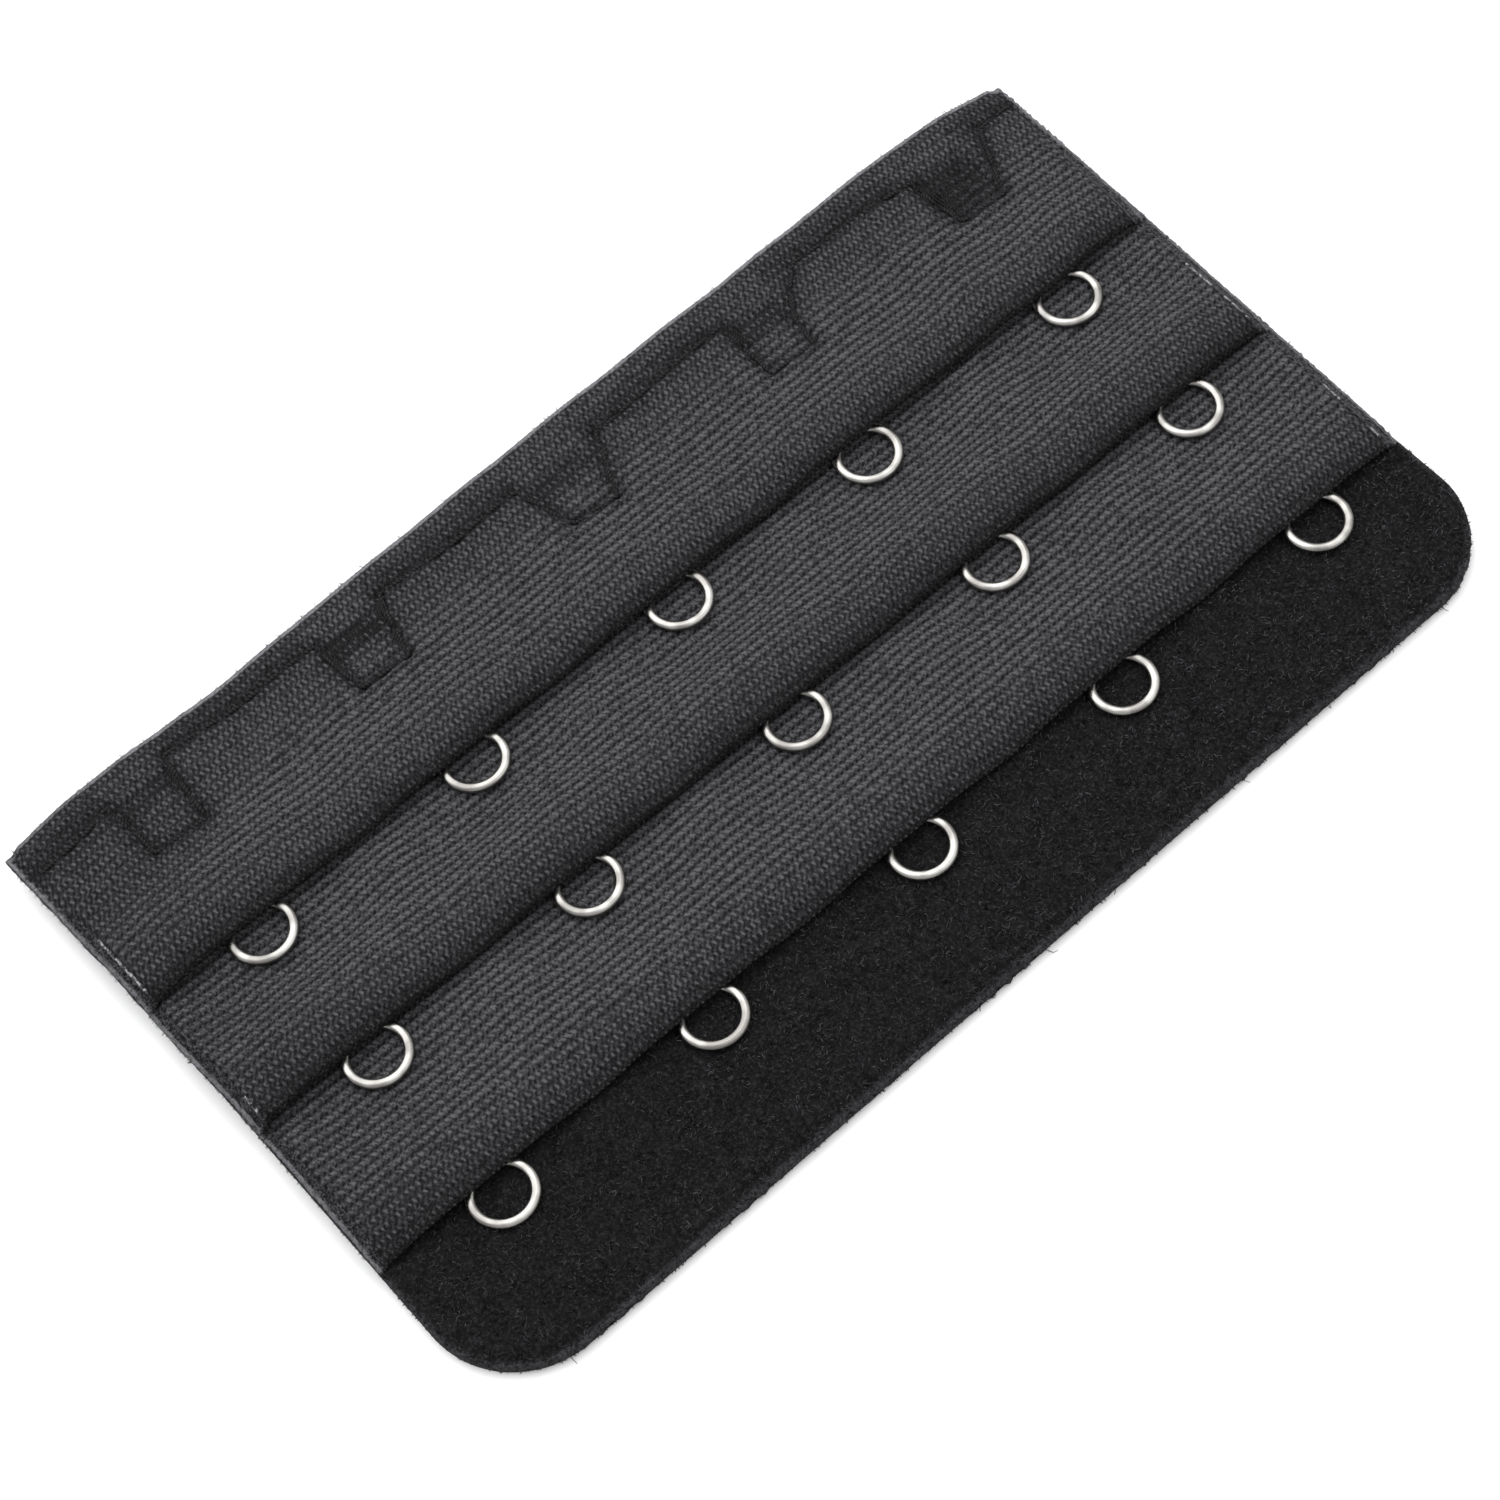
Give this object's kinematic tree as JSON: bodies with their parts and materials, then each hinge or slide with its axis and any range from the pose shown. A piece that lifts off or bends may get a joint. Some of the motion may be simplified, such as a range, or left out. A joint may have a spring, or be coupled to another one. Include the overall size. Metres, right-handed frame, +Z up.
{
  "type": "hook and eye clasp",
  "caption": "Hook and eye clasp: columns of round wire eyes under the edges of overlapping ribbed tapes on a fleece backing, with sewn wire hooks at one end",
  "frame": {"origin": "middle of the bounding box, on the surface that the clasp lies on", "axes": "+X from the hooks to the fleece end, +Y along the rows of eyes, +Z up to the eyes' side"},
  "size_m": [0.0584, 0.097, 0.0046],
  "materials": {
    "ribbed_tape": "black ribbed woven tape, folded edges",
    "fleece": "black brushed fleece with a short pile",
    "nickel_wire": "bright nickel-plated steel wire"
  },
  "bodies": {
    "root": {"backing": "fleece", "hook_tape": "ribbed_tape", "middle_tape": "ribbed_tape", "end_tape": "ribbed_tape", "eye_1_1": "nickel_wire", "eye_1_2": "nickel_wire", "eye_1_3": "nickel_wire", "eye_1_4": "nickel_wire", "eye_1_5": "nickel_wire", "eye_2_1": "nickel_wire", "eye_2_2": "nickel_wire", "eye_2_3": "nickel_wire", "eye_2_4": "nickel_wire", "eye_2_5": "nickel_wire", "eye_3_1": "nickel_wire", "eye_3_2": "nickel_wire", "eye_3_3": "nickel_wire", "eye_3_4": "nickel_wire", "eye_3_5": "nickel_wire", "hook_1": "nickel_wire", "hook_2": "nickel_wire", "hook_3": "nickel_wire", "hook_4": "nickel_wire", "hook_5": "nickel_wire"}
  },
  "joints": []
}
